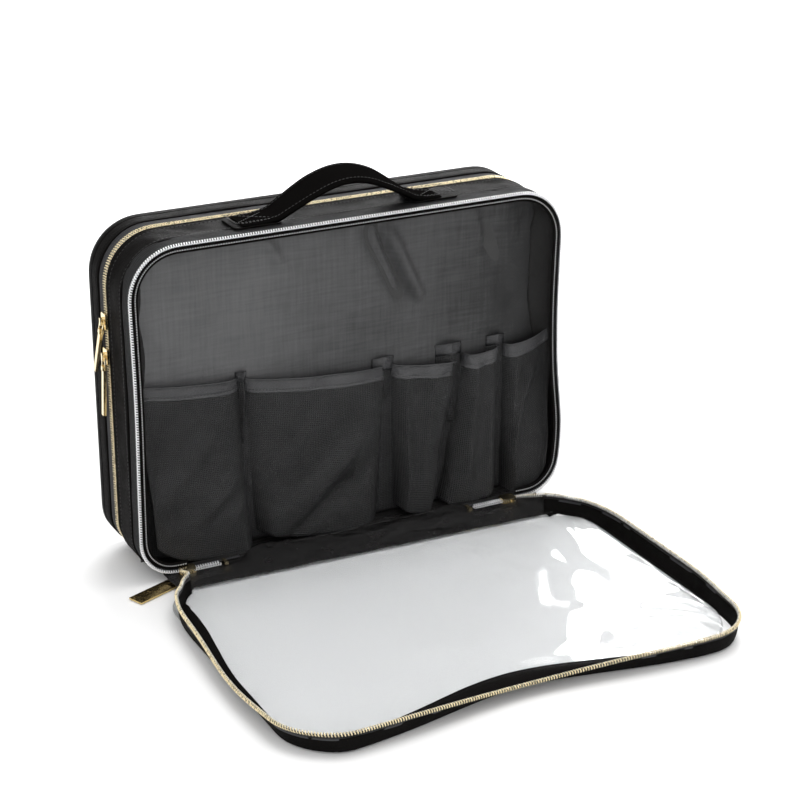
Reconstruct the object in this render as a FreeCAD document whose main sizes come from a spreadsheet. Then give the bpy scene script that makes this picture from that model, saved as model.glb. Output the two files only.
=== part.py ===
"""Makeup train case: a soft zip case standing on its base, with its clear front lid laid open.

The origin is the middle of the base, at the surface the case stands on. +X is the case's right,
+Y its back and +Z up. The core is the middle band with the divider. A lid closes each side of it.
"""

import FreeCAD, Part
import math
import os
import Sketcher

SIZES = {
    "case_width": 380,
    "case_height": 276,
    "core_depth": 54,
    "front_depth": 22,
    "rear_depth": 34,
    "corner_top": 42,
    "corner_base": 30,
    "rim_lift": 5,
    "gusset_wall": 2,
    "gusset_half": 17,
    "lid_wall": 1.6,
    "tape_inset": 1,
    "tape_wall": 1,
    "tape_width": 5.2,
    "coil_inset": 0.3,
    "coil_height": 2.4,
    "coil_width": 3,
    "coil_gap": 1.6,
    "lining_wall": 0.6,
    "divider_board": 2,
    "zip_end_left": 121,
    "zip_end_right": 104,
    "rear_zip_end": 112,
    "stop_length": 3,
    "strip_half": 150,
    "strip_flat_end": 34,
    "hinge_inset": 1,
    "binding_width": 12,
    "binding_wall": 1.2,
    "window_wall": 0.6,
    "foam_wall": 3,
    "panel_wall": 1.4,
    "piping_size": 2,
    "pocket_depth": 12.4,
    "pocket_wall": 0.8,
    "hem_width": 12,
    "hem_wall": 0.8,
    "handle_span": 132,
    "handle_rise": 33,
    "handle_width": 28,
    "handle_wall": 3.4,
    "handle_foot": 4.5,
    "neck_half": 4,
    "neck_rise": 10.5,
    "patch_length": 42,
    "patch_inner": 56,
    "patch_wall": 1,
    "slider_length": 13,
    "slider_width": 9.6,
    "outer_plate": 1.6,
    "inner_plate": 1.2,
    "plate_gap": 0.3,
    "post_width": 1,
    "post_length": 3,
    "bail_length": 6,
    "bail_width": 2.4,
    "bail_height": 3,
    "bail_wire": 1,
    "plate_round": 2,
    "loop_wire": 1.2,
    "loop_half": 2.8,
    "loop_reach": 10,
    "pull_length": 46,
    "pull_width": 14,
    "pull_wall": 1.2,
    "pull_lift": 0.2,
    "bar_length": 42,
    "bar_width": 4,
    "bar_wall": 2.5,
    "eye_half": 1.9,
    "eye_hole": 2.2,
    "eye_width": 3.2,
}

# Each pocket's left and right sides, its bottom and its top, across the front of the divider.
POCKETS = (
    (-178, -93, 15, 157),
    (-89, 37, 8.2, 146),
    (41, 104, 8.2, 135),
    (108, 144, 8.2, 138),
    (147, 182, 19, 146),
)

# Where each slider stands along its zip, and how far its pull is turned out of line with it.
FRONT_SLIDERS = {"left": (-152, 22), "right": (140, 0)}
REAR_SLIDERS = {"upper": (205, 24), "lower": (176, 8)}

# Which end of its own length each slider opens the zip at.
OPEN_END = {
    "front_slider_left": 1,
    "front_slider_right": -1,
    "rear_slider_upper": 1,
    "rear_slider_lower": -1,
}

# How far a cutting shape runs past what it cuts, and how near counts as the same place.
OVERRUN = 1
CLOSE = 0.01

UP = FreeCAD.Vector(0, 0, 1)
ACROSS = FreeCAD.Vector(1, 0, 0)
HALF_TURN = math.pi

doc = FreeCAD.newDocument("train_case")
sheet = doc.addObject("Spreadsheet::Sheet", "sizes")
for row, (alias, size) in enumerate(SIZES.items(), 1):
    sheet.set(f"A{row}", alias)
    sheet.set(f"B{row}", str(size))
    sheet.setAlias(f"B{row}", alias)
doc.recompute()

sub_parts = []


def number(expression):
    """The value of an expression that names cells of the sheet."""
    return float(sheet.evalExpression(str(expression)))


def keep(item, label, place=None):
    """Names a sub-part, puts it in its place and lists it for export."""
    item.Label = label
    item.Placement = place or FreeCAD.Placement()
    sub_parts.append(item)
    return item


# --- sketches -------------------------------------------------------------------------------


def new_sketch(body, name, role, offset="0"):
    """A sketch on one of the body's own origin planes, moved along the plane's normal."""
    sketch = body.newObject("Sketcher::SketchObject", name)
    plane = next(item for item in body.Origin.OriginFeatures if item.Role == role)
    sketch.AttachmentSupport = [(plane, "")]
    sketch.MapMode = "FlatFace"
    sketch.setExpression("AttachmentOffset.Base.z", offset)
    return sketch


def bind(sketch, name, constraint, expression):
    """Adds a dimension and ties it to the sheet."""
    index = sketch.addConstraint(constraint)
    sketch.renameConstraint(index, name)
    sketch.setExpression("Constraints." + name, expression)


def rounded_loop(sketch, tag, inset, low="sizes.rim_lift", base="sizes.corner_base"):
    """The case's outline drawn in by inset: large upper corners and smaller lower ones."""
    side = f"sizes.case_width / 2 - ({inset})"
    bottom = f"{low} + ({inset})"
    top = f"sizes.case_height - ({inset})"
    upper = f"sizes.corner_top - ({inset})"
    lower = f"{base} - ({inset})"
    right = number(side)
    floor = number(bottom)
    roof = number(top)
    big = number(upper)
    small = number(lower)
    corners = (
        (right - small, floor + small, small, -0.5),
        (right - big, roof - big, big, 0),
        (big - right, roof - big, big, 0.5),
        (small - right, floor + small, small, 1),
    )
    arcs = []
    for x, y, radius, start in corners:
        circle = Part.Circle(FreeCAD.Vector(x, y, 0), UP, radius)
        arcs.append(Part.ArcOfCircle(circle, start * math.pi, (start + 0.5) * math.pi))
    first = sketch.GeometryCount
    shapes = []
    for index, arc in enumerate(arcs):
        following = arcs[(index + 1) % len(arcs)]
        shapes += [arc, Part.LineSegment(arc.EndPoint, following.StartPoint)]
    sketch.addGeometry(shapes, False)
    count = len(shapes)
    for index in range(count):
        here = first + index
        after = first + (index + 1) % count
        sketch.addConstraint(Sketcher.Constraint("Tangent", here, 2, after, 1))
    right_side, roof_side, left_side, floor_side = first + 1, first + 3, first + 5, first + 7
    for line, way in (
        (right_side, "Vertical"),
        (roof_side, "Horizontal"),
        (left_side, "Vertical"),
        (floor_side, "Horizontal"),
    ):
        sketch.addConstraint(Sketcher.Constraint(way, line))
    sketch.addConstraint(Sketcher.Constraint("Equal", first, first + 6))
    sketch.addConstraint(Sketcher.Constraint("Equal", first + 2, first + 4))
    rule = Sketcher.Constraint
    bind(sketch, tag + "_lower", rule("Radius", first, small), lower)
    bind(sketch, tag + "_upper", rule("Radius", first + 2, big), upper)
    bind(sketch, tag + "_right", rule("DistanceX", -1, 1, right_side, 1, right), side)
    bind(sketch, tag + "_left", rule("DistanceX", left_side, 1, -1, 1, right), side)
    bind(sketch, tag + "_roof", rule("DistanceY", -1, 1, roof_side, 1, roof), top)
    bind(sketch, tag + "_floor", rule("DistanceY", -1, 1, floor_side, 1, floor), bottom)


def corner_loop(sketch, tag, points):
    """A closed loop of straight sides through points, each a pair of expressions."""
    places = [FreeCAD.Vector(number(x), number(y), 0) for x, y in points]
    first = sketch.GeometryCount
    count = len(places)
    for index, place in enumerate(places):
        sketch.addGeometry(Part.LineSegment(place, places[(index + 1) % count]), False)
    for index in range(count):
        here = first + index
        after = first + (index + 1) % count
        sketch.addConstraint(Sketcher.Constraint("Coincident", here, 2, after, 1))
    for index, (x, y) in enumerate(points):
        line = first + index
        place = places[index]
        for axis, along, expression in (("X", place.x, x), ("Y", place.y, y)):
            name = f"{tag}_{axis}{index}"
            rule = Sketcher.Constraint("Distance" + axis, -1, 1, line, 1, along)
            bind(sketch, name, rule, expression)


def box_points(left, right, low, high):
    return ((left, low), (right, low), (right, high), (left, high))


def pad(body, sketch, length, midplane=False):
    feature = body.newObject("PartDesign::Pad", "pad")
    feature.Profile = sketch
    feature.Midplane = midplane
    feature.setExpression("Length", length)
    doc.recompute()
    return feature


def cut_through(body, sketch):
    """Cuts the sketch right through the body, both ways."""
    before = body.Shape.Volume
    feature = body.newObject("PartDesign::Pocket", "cut")
    feature.Profile = sketch
    feature.Midplane = True
    feature.setExpression("Length", "4 * sizes.case_width")
    doc.recompute()
    assert body.Shape.Volume < before, body.Name
    return feature


# --- bands, panels and strips ------------------------------------------------------------------


def side_offset(side, near, far):
    """The offset of a sketch whose pad fills from near to far on one side of the core.

    The plane's normal is -Y, so the front (side -1) starts at near and the rear at minus far.
    """
    return near if side < 0 else f"-({far})"


def slab(label, side, near, far, outer, inner=None, place=None, **shape):
    """A panel of the case's outline, or a band when it has an inner loop, from near to far."""
    body = doc.addObject("PartDesign::Body", "body_" + label)
    sketch = new_sketch(body, "outline_" + label, "XZ_Plane", side_offset(side, near, far))
    rounded_loop(sketch, "outer", outer, **shape)
    if inner is not None:
        rounded_loop(sketch, "inner", inner, **shape)
    pad(body, sketch, f"({far}) - ({near})")
    return keep(body, label, place)


def open_bottom(body, left, right):
    """Takes the straight run between left and right out of a band's bottom."""
    sketch = new_sketch(body, "gap_" + body.Label, "XZ_Plane")
    corner_loop(sketch, "gap", box_points(left, right, f"-{OVERRUN}", "sizes.corner_base"))
    cut_through(body, sketch)


def box(name, left, right, front, back, low, high):
    """A plain block between three pairs of expressions."""
    item = doc.addObject("Part::Box", name)
    item.setExpression("Length", f"({right}) - ({left})")
    item.setExpression("Width", f"({back}) - ({front})")
    item.setExpression("Height", f"({high}) - ({low})")
    item.setExpression("Placement.Base.x", left)
    item.setExpression("Placement.Base.y", front)
    item.setExpression("Placement.Base.z", low)
    return item


def fused(name, items):
    item = doc.addObject("Part::MultiFuse", name)
    item.Shapes = items
    item.Refine = True
    return item


def cut(name, base, tool):
    item = doc.addObject("Part::Cut", name)
    item.Base = base
    item.Tool = tool
    item.Refine = True
    return item


def between(side, near, far):
    """The front and back of what lies from near to far on one side of the core."""
    return (f"-({far})", f"-({near})") if side < 0 else (near, far)


ROW_START = "sizes.core_depth / 2 - sizes.coil_gap / 2 - sizes.coil_width"
ROW_END = "sizes.core_depth / 2 - sizes.coil_gap / 2"
LID_ROW_START = "sizes.core_depth / 2 + sizes.coil_gap / 2"
LID_ROW_END = "sizes.core_depth / 2 + sizes.coil_gap / 2 + sizes.coil_width"
LID_TAPE_END = LID_ROW_END + " + sizes.tape_width"
TAPE_OUT = "sizes.tape_inset"
TAPE_IN = "sizes.tape_inset + sizes.tape_wall"
COIL_OUT = "sizes.coil_inset"
COIL_IN = "sizes.coil_inset + sizes.coil_height"
COIL_LOW = "sizes.rim_lift + sizes.coil_inset"
COIL_HIGH = "sizes.rim_lift + sizes.coil_inset + sizes.coil_height"
COIL_MIDDLE = "sizes.rim_lift + sizes.coil_inset + sizes.coil_height / 2"
LINING_IN = "sizes.gusset_wall + sizes.lining_wall"
DIVIDER = "sizes.divider_board / 2"
DIVIDER_FACE = "sizes.divider_board / 2 + sizes.lining_wall"
BASE_SPAN = "sizes.case_width / 2 - sizes.corner_base"


def make_core():
    """The middle band, its base board and linings, and the divider with its two faces."""
    body = doc.addObject("PartDesign::Body", "body_core_gusset")
    sketch = new_sketch(body, "outline_core_gusset", "XZ_Plane")
    low_corner = "sizes.corner_base + sizes.rim_lift"
    rounded_loop(sketch, "outer", "0", low="0", base=low_corner)
    rounded_loop(sketch, "inner", "sizes.gusset_wall", low="0", base=low_corner)
    pad(body, sketch, "2 * sizes.gusset_half", midplane=True)
    keep(body, "core_gusset")

    half = "sizes.case_width / 2 - sizes.corner_base - sizes.rim_lift"
    board = box(
        "base_board",
        f"-({half})",
        half,
        "-sizes.gusset_half",
        "sizes.gusset_half",
        "sizes.gusset_wall",
        "sizes.rim_lift + sizes.gusset_wall",
    )
    doc.recompute()
    keep(board, "base_board", board.Placement)

    slab("divider_board", 1, f"-({DIVIDER})", DIVIDER, "sizes.gusset_wall")
    for name, side in (("front", -1), ("rear", 1)):
        slab(f"divider_{name}_face", side, DIVIDER, DIVIDER_FACE, "sizes.gusset_wall")
        slab(f"{name}_lining", side, DIVIDER_FACE, ROW_START, "sizes.gusset_wall", LINING_IN)


def make_zip(name, side, end_left, end_right):
    """The core's half of one zip: its tape, its coil row, the closed ends and their stops."""
    slab(f"{name}_zip_tape", side, "sizes.gusset_half", ROW_START, TAPE_OUT, TAPE_IN)
    coil = slab(f"{name}_zip_coil", side, ROW_START, ROW_END, COIL_OUT, COIL_IN)
    open_bottom(coil, f"-({end_left})", end_right)

    front, back = between(side, LID_ROW_START, LID_ROW_END)
    rows = []
    for label, left, right in (
        ("left", "-sizes.strip_half", f"-({end_left})"),
        ("right", end_right, "sizes.strip_half"),
    ):
        rows.append(
            box(f"{name}_row_{label}", left, right, front, back, COIL_LOW, COIL_HIGH)
        )
    keep(fused(f"{name}_rows", rows), f"{name}_zip_end_rows")

    front, back = between(side, ROW_START, LID_ROW_END)
    stops = []
    for label, left, right in (
        ("left", f"-({end_left})", f"-({end_left}) + sizes.stop_length"),
        ("right", f"{end_right} - sizes.stop_length", end_right),
    ):
        stops.append(
            box(f"{name}_stop_{label}", left, right, front, back, COIL_LOW, COIL_HIGH)
        )
    keep(fused(f"{name}_stops", stops), f"{name}_zip_stops")


def make_hinge_strip(name, side, depth, end_left, end_right):
    """The fabric strip from the zip's closed stretch down to the lid's hinge line."""
    flip = "-1" if side < 0 else "1"
    high = "sizes.rim_lift + sizes.tape_inset + sizes.tape_wall"
    low = "sizes.rim_lift + sizes.tape_inset"
    hinge = f"sizes.core_depth / 2 + {depth} - 1.5 * sizes.hinge_inset"
    points = (
        (ROW_START, low),
        ("sizes.strip_flat_end", low),
        (hinge, "0"),
        (hinge, "sizes.tape_wall"),
        ("sizes.strip_flat_end", high),
        (ROW_START, high),
    )
    body = doc.addObject("PartDesign::Body", f"body_{name}_hinge_strip")
    sketch = new_sketch(body, f"profile_{name}_hinge_strip", "YZ_Plane")
    corner_loop(sketch, "strip", [(f"{flip} * ({y})", z) for y, z in points])
    pad(body, sketch, "2 * sizes.strip_half", midplane=True)
    keep(body, f"{name}_hinge_strip")
    channel = new_sketch(body, f"channel_{name}", "XY_Plane")
    near, far = between(side, "sizes.gusset_half", LID_ROW_END)
    left_end = f"-({end_left}) + sizes.stop_length"
    right_end = f"{end_right} - sizes.stop_length"
    beyond = "sizes.case_width"
    corner_loop(channel, "left", box_points(f"-{beyond}", left_end, near, far))
    corner_loop(channel, "right", box_points(right_end, beyond, near, far))
    cut_through(body, channel)


def make_lid_rim(name, side, place, gusset_end):
    """What both lids share: the gusset, the zip tape and the coil row, open at the hinge."""
    near = LID_TAPE_END
    rims = (
        slab(f"{name}_lid_gusset", side, near, gusset_end, "0", "sizes.lid_wall", place),
        slab(f"{name}_lid_tape", side, LID_ROW_END, near, TAPE_OUT, TAPE_IN, place),
        slab(f"{name}_lid_coil", side, LID_ROW_START, LID_ROW_END, COIL_OUT, COIL_IN, place),
    )
    for rim in rims:
        open_bottom(rim, f"-({BASE_SPAN})", BASE_SPAN)


def turned_about_hinge(side, depth, degrees):
    """A lid's placement when it is turned about its hinge line near the base."""
    hinge_y = side * number(f"sizes.core_depth / 2 + {depth} - sizes.hinge_inset")
    centre = FreeCAD.Vector(0, hinge_y, number("sizes.hinge_inset"))
    turn = FreeCAD.Rotation(ACROSS, degrees)
    return FreeCAD.Placement(FreeCAD.Vector(), turn, centre)


def make_front_lid():
    """The clear lid, laid open: its window, the binding round it and the rim."""
    place = turned_about_hinge(-1, "sizes.front_depth", 90)
    outside = "sizes.core_depth / 2 + sizes.front_depth"
    binding = f"{outside} - sizes.binding_wall"
    make_lid_rim("front", -1, place, binding)
    slab("window_binding", -1, binding, outside, "0", "sizes.binding_width", place)
    sheet_far = f"{outside} - (sizes.binding_wall - sizes.window_wall) / 2"
    sheet_near = f"{sheet_far} - sizes.window_wall"
    slab("window", -1, sheet_near, sheet_far, "sizes.binding_width", None, place)


def make_rear_lid():
    """The padded rear lid, closed: its outer panel, foam, lining, piping and rim."""
    outside = "sizes.core_depth / 2 + sizes.rear_depth"
    skin = f"{outside} - sizes.piping_size"
    foam = f"{skin} - sizes.foam_wall"
    lining = f"{foam} - sizes.lining_wall"
    make_lid_rim("rear", 1, None, skin)
    slab("rear_panel", 1, skin, f"{skin} + sizes.panel_wall", "sizes.piping_size")
    slab("rear_piping", 1, skin, outside, "0", "sizes.piping_size")
    slab("rear_foam", 1, foam, skin, "sizes.lid_wall")
    slab("rear_lid_lining", 1, lining, foam, "sizes.lid_wall")


# --- pockets ---------------------------------------------------------------------------------


def make_pocket(index, left, right, low, high):
    """One mesh pocket, open at the top, and the hem band round its mouth."""
    name = f"pocket_{index}"
    wall = "sizes.pocket_wall"
    hem = "sizes.hem_wall"
    back = f"-({DIVIDER_FACE})"
    front = f"{back} - sizes.pocket_depth"
    past_back = f"{back} + {OVERRUN}"
    past_top = f"{high} + {OVERRUN}"
    outer = box(f"{name}_outer", str(left), str(right), front, back, str(low), str(high))
    room = box(
        f"{name}_room",
        f"{left} + {wall}",
        f"{right} - {wall}",
        f"{front} + {wall}",
        past_back,
        f"{low} + {wall}",
        past_top,
    )
    keep(cut(f"{name}_cut", outer, room), f"{name}_mesh")

    hem_low = f"{high} - sizes.hem_width"
    band = box(
        f"{name}_band",
        f"{left} - {hem}",
        f"{right} + {hem}",
        f"{front} - {hem}",
        back,
        hem_low,
        str(high),
    )
    within = box(
        f"{name}_within",
        str(left),
        str(right),
        front,
        past_back,
        f"{hem_low} - {OVERRUN}",
        past_top,
    )
    keep(cut(f"{name}_band_cut", band, within), f"{name}_hem")


# --- handle ----------------------------------------------------------------------------------


def make_handle():
    """The arched carrying strap, narrowed at its two feet, and the patches that hold it."""
    pivot = "sizes.case_height + sizes.handle_foot"
    half = "sizes.handle_span / 2"
    radius = f"(({half}) ^ 2 + sizes.handle_rise ^ 2) / (2 * sizes.handle_rise)"
    centre = f"{pivot} + sizes.handle_rise - {radius}"
    body = doc.addObject("PartDesign::Body", "body_handle_strap")
    sketch = new_sketch(body, "arch", "XZ_Plane")
    middle = number(centre)
    foot = number(pivot)
    inner = number(radius)
    outer = number(f"{radius} + sizes.handle_wall")
    start_inner = math.asin((foot - middle) / inner)
    start_outer = math.asin((foot - middle) / outer)
    hub = FreeCAD.Vector(0, middle, 0)
    bow = Part.ArcOfCircle(Part.Circle(hub, UP, inner), start_inner, HALF_TURN - start_inner)
    back = Part.ArcOfCircle(Part.Circle(hub, UP, outer), start_outer, HALF_TURN - start_outer)
    right = Part.LineSegment(bow.StartPoint, back.StartPoint)
    left = Part.LineSegment(bow.EndPoint, back.EndPoint)
    sketch.addGeometry([bow, back, right, left], False)
    rule = Sketcher.Constraint
    sketch.addConstraint(
        [
            rule("Coincident", 0, 3, 1, 3),
            rule("PointOnObject", 0, 3, -2),
            rule("Coincident", 2, 1, 0, 1),
            rule("Coincident", 2, 2, 1, 1),
            rule("Coincident", 3, 1, 0, 2),
            rule("Coincident", 3, 2, 1, 2),
            rule("Horizontal", 2),
            rule("Horizontal", 3),
        ]
    )
    bind(sketch, "inner_radius", rule("Radius", 0, inner), radius)
    bind(sketch, "outer_radius", rule("Radius", 1, outer), f"{radius} + sizes.handle_wall")
    bind(sketch, "hub_height", rule("DistanceY", -1, 1, 0, 3, middle), centre)
    bind(sketch, "right_foot", rule("DistanceY", -1, 1, 0, 1, foot), pivot)
    bind(sketch, "left_foot", rule("DistanceY", -1, 1, 0, 2, foot), pivot)
    pad(body, sketch, "sizes.handle_width", midplane=True)
    keep(body, "handle_strap")

    taper = new_sketch(body, "foot_taper", "YZ_Plane")
    edge = "sizes.handle_width / 2"
    top = f"{pivot} + sizes.neck_rise"
    below = f"{pivot} - {OVERRUN}"
    for tag, flip in (("rear", "1"), ("front", "-1")):
        points = (
            ("sizes.neck_half", pivot),
            (edge, top),
            (f"{edge} + {OVERRUN}", top),
            (f"{edge} + {OVERRUN}", below),
            ("sizes.neck_half", below),
        )
        corner_loop(taper, tag, [(f"{flip} * ({y})", z) for y, z in points])
    cut_through(body, taper)

    patches = []
    for tag, left in (
        ("left", "-sizes.patch_inner - sizes.patch_length"),
        ("right", "sizes.patch_inner"),
    ):
        patches.append(
            box(
                f"patch_{tag}",
                left,
                f"{left} + sizes.patch_length",
                f"-({edge})",
                edge,
                "sizes.case_height",
                "sizes.case_height + sizes.patch_wall",
            )
        )
    keep(fused("patches", patches), "handle_patches")


# --- sliders and pulls -------------------------------------------------------------------------
# Each is drawn with its zip along X, its outside towards +Z and the coil's middle at the origin.
# A pull, ring or bar is drawn from its own pivot, reaching along +X.

PLATE_FACE = "sizes.coil_height / 2 + sizes.plate_gap"
PLATE_OUT = "sizes.coil_height / 2 + sizes.plate_gap + sizes.outer_plate"
BAIL_OUT = PLATE_OUT + " + sizes.bail_height"
PIVOT_OUT = PLATE_OUT + " + (sizes.bail_height - sizes.bail_wire) / 2"


def centred_box(name, left, right, width, low, high):
    return box(name, left, right, f"-({width}) / 2", f"({width}) / 2", low, high)


def make_slider(label, place):
    """Two plates joined by a post between the coil rows, and the bail that holds the pull."""
    half = "sizes.slider_length / 2"
    width = "sizes.slider_width"
    inner_low = f"-({PLATE_FACE}) - sizes.inner_plate"
    arch = "sizes.bail_length / 2"
    hole = f"{arch} - sizes.bail_wire"
    post_start, post_end = f"-{half}", f"-{half} + sizes.post_length"
    if OPEN_END[label] > 0:
        post_start, post_end = f"{half} - sizes.post_length", half
    plates = [
        centred_box(f"{label}_outer", f"-{half}", half, width, PLATE_FACE, PLATE_OUT),
        centred_box(f"{label}_inner", f"-{half}", half, width, inner_low, f"-({PLATE_FACE})"),
        centred_box(
            f"{label}_post", post_start, post_end, "sizes.post_width", f"-({PLATE_FACE})", PLATE_FACE
        ),
    ]
    rounded = doc.addObject("Part::Fillet", f"{label}_rounded")
    plain = fused(f"{label}_plates", plates)
    doc.recompute()
    rounded.Base = plain
    rounded.Edges = corner_edges(plain.Shape, number("sizes.plate_round"))
    loop = cut(
        f"{label}_bail",
        centred_box(f"{label}_arch", f"-{arch}", arch, "sizes.bail_width", PLATE_OUT, BAIL_OUT),
        centred_box(
            f"{label}_hole",
            f"-({hole})",
            hole,
            "2 * sizes.bail_width",
            PLATE_OUT,
            f"{BAIL_OUT} - sizes.bail_wire",
        ),
    )
    keep(fused(f"{label}_whole", [rounded, loop]), label, place)


def corner_edges(shape, radius):
    """The upright edges at the plates' corners, each with its rounding."""
    reach = number("sizes.slider_length / 2") - CLOSE
    side = number("sizes.slider_width / 2") - CLOSE
    found = []
    for index, edge in enumerate(shape.Edges, 1):
        start = edge.Vertexes[0].Point
        end = edge.Vertexes[-1].Point
        upright = abs(start.x - end.x) + abs(start.y - end.y) < CLOSE
        if upright and abs(start.x) > reach and abs(start.y) > side:
            found.append((index, radius, radius))
    return found


def loop_frame(label, reach, wire="sizes.loop_wire"):
    """A four-sided wire loop from its pivot bar to its far bar."""
    width = f"2 * (sizes.loop_half + {wire})"
    half = f"{wire} / 2"
    outer = centred_box(f"{label}_frame", f"-{half}", f"{reach} + {half}", width, f"-{half}", half)
    inner = centred_box(
        f"{label}_space", half, f"{reach} - {half}", "2 * sizes.loop_half", f"-{wire}", wire
    )
    return cut(f"{label}_loop", outer, inner)


def make_ring(label, place):
    """The wire ring between a slider's bail and its bar."""
    keep(loop_frame(label, "sizes.loop_reach"), label, place)


def make_bar(label, place):
    """The slender bar with the eye that hangs on the ring."""
    eye = "sizes.eye_half"
    block = centred_box(f"{label}_eye", f"-{eye}", eye, "sizes.eye_width", f"-{eye}", eye)
    bore = centred_box(
        f"{label}_bore",
        "-sizes.eye_hole / 2",
        "sizes.eye_hole / 2",
        "2 * sizes.eye_width",
        "-sizes.eye_hole / 2",
        "sizes.eye_hole / 2",
    )
    shank = centred_box(
        f"{label}_shank",
        eye,
        "sizes.bar_length",
        "sizes.bar_width",
        "-sizes.bar_wall / 2",
        "sizes.bar_wall / 2",
    )
    keep(fused(f"{label}_whole", [cut(f"{label}_ring", block, bore), shank]), label, place)


def make_pull(label, place):
    """The flat front pull: a loop at its root that steps out to a broad plate."""
    reach = "sizes.loop_reach"
    out = f"{COIL_MIDDLE} - sizes.pull_lift - ({PIVOT_OUT})"
    plate = centred_box(
        f"{label}_plate",
        f"{reach} - sizes.loop_wire / 2",
        f"{reach} + sizes.pull_length",
        "sizes.pull_width",
        f"{out} - sizes.pull_wall",
        out,
    )
    step = centred_box(
        f"{label}_step",
        f"{reach} - sizes.loop_wire / 2",
        f"{reach} + sizes.loop_wire / 2",
        "2 * (sizes.loop_half + sizes.loop_wire)",
        "0",
        out,
    )
    keep(fused(f"{label}_whole", [loop_frame(label, reach), step, plate]), label, place)


def frame_rotation(along, outward):
    """The rotation that takes +X to along and +Z to outward."""
    across = outward.cross(along)
    matrix = FreeCAD.Matrix(
        along.x, across.x, outward.x, 0,
        along.y, across.y, outward.y, 0,
        along.z, across.z, outward.z, 0,
        0, 0, 0, 1,
    )
    return FreeCAD.Rotation(matrix)


def make_front_slider(name, position, yaw):
    """A slider at the bottom of the front zip, outside down, its pull lying out to the left."""
    outward = FreeCAD.Vector(0, 0, -1)
    along = FreeCAD.Vector(-1, 0, 0)
    zip_y = -number("sizes.core_depth / 2")
    middle = FreeCAD.Vector(position, zip_y, number(COIL_MIDDLE))
    straight = frame_rotation(along, outward)
    make_slider(f"front_slider_{name}", FreeCAD.Placement(middle, straight))
    pivot = middle + outward * number(PIVOT_OUT)
    turned = FreeCAD.Rotation(UP, yaw).multiply(straight)
    make_pull(f"front_pull_{name}", FreeCAD.Placement(pivot, turned))


def make_rear_slider(name, position, yaw):
    """A slider on the rear zip's left side, outside to the left, its ring and bar hanging."""
    outward = FreeCAD.Vector(-1, 0, 0)
    along = FreeCAD.Vector(0, 0, -1)
    inset = number("sizes.coil_inset + sizes.coil_height / 2")
    zip_x = inset - number("sizes.case_width / 2")
    middle = FreeCAD.Vector(zip_x, number("sizes.core_depth / 2"), position)
    straight = frame_rotation(along, outward)
    make_slider(f"rear_slider_{name}", FreeCAD.Placement(middle, straight))
    pivot = middle + outward * number(PIVOT_OUT)
    turned = FreeCAD.Rotation(ACROSS, yaw).multiply(straight)
    make_ring(f"rear_ring_{name}", FreeCAD.Placement(pivot, turned))
    hang = turned.multVec(ACROSS) * number("sizes.loop_reach")
    make_bar(f"rear_bar_{name}", FreeCAD.Placement(pivot + hang, turned))


def write_parts():
    """Checks every object and sub-part, then writes each one to its own file."""
    doc.recompute()
    for item in doc.Objects:
        assert not {"Invalid", "Error"} & set(item.State), item.Label
    os.makedirs("parts", exist_ok=True)
    for item in sub_parts:
        shape = item.Shape
        assert not shape.isNull() and shape.isValid(), item.Label
        assert shape.Solids, item.Label
        shape.exportStep(f"parts/{item.Label}.step")
    print(len(sub_parts), "sub-parts written")


make_core()
make_zip("front", -1, "sizes.zip_end_left", "sizes.zip_end_right")
make_zip("rear", 1, "sizes.rear_zip_end", "sizes.rear_zip_end")
make_hinge_strip("front", -1, "sizes.front_depth", "sizes.zip_end_left", "sizes.zip_end_right")
make_hinge_strip("rear", 1, "sizes.rear_depth", "sizes.rear_zip_end", "sizes.rear_zip_end")
make_front_lid()
make_rear_lid()
for index, (left, right, low, high) in enumerate(POCKETS, 1):
    make_pocket(index, left, right, low, high)
make_handle()
for name, (position, yaw) in FRONT_SLIDERS.items():
    make_front_slider(name, position, yaw)
for name, (position, yaw) in REAR_SLIDERS.items():
    make_rear_slider(name, position, yaw)
write_parts()
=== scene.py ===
"""The looks of a makeup train case with its front lid open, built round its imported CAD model."""

from math import cos, pi, radians, sin

import bpy
import numpy as np
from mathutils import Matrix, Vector, noise


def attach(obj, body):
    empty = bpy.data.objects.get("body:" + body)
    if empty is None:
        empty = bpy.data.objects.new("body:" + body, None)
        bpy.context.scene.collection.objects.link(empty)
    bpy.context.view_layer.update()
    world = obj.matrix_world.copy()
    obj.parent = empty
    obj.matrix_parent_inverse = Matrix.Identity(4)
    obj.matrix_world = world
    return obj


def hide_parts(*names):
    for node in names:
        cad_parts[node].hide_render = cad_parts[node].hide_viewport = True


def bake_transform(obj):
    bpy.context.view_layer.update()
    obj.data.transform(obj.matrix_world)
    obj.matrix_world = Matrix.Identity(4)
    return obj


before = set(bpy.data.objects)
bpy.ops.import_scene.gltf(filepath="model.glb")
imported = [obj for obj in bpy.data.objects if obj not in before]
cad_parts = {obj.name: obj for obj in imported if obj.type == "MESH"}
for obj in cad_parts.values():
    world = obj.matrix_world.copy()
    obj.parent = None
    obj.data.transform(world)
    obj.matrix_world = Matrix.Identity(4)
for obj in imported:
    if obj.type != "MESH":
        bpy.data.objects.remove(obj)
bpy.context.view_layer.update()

# sizes in mm, in the CAD model's frame: x right, y back, z up
MM = 0.001
HALF, HIGH = 190.0, 276.0  # half the case's width, and its height
TOP_RADIUS, RIM_BASE, RIM_LIFT, CORE_BASE = 42.0, 30.0, 5.0, 35.0
HINGE_Y, HINGE_Z = -48.0, 1.0
STATIONS = 240  # points round the case's outline
PITCH = 2.1  # from one tooth of a zip to the next
POCKET_FLOOR, HEM_TALL = 8.2, 12.0
WALL = 15.5  # height of the open lid's wall
LINED = (-186.5, 186.5, 8.5, 272.5, 27, 38)  # x, z and corner radii of a compartment's lined face


# ---- small maths
def unit(v):
    return v / np.maximum(np.linalg.norm(v, axis=-1, keepdims=True), 1e-9)


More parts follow.
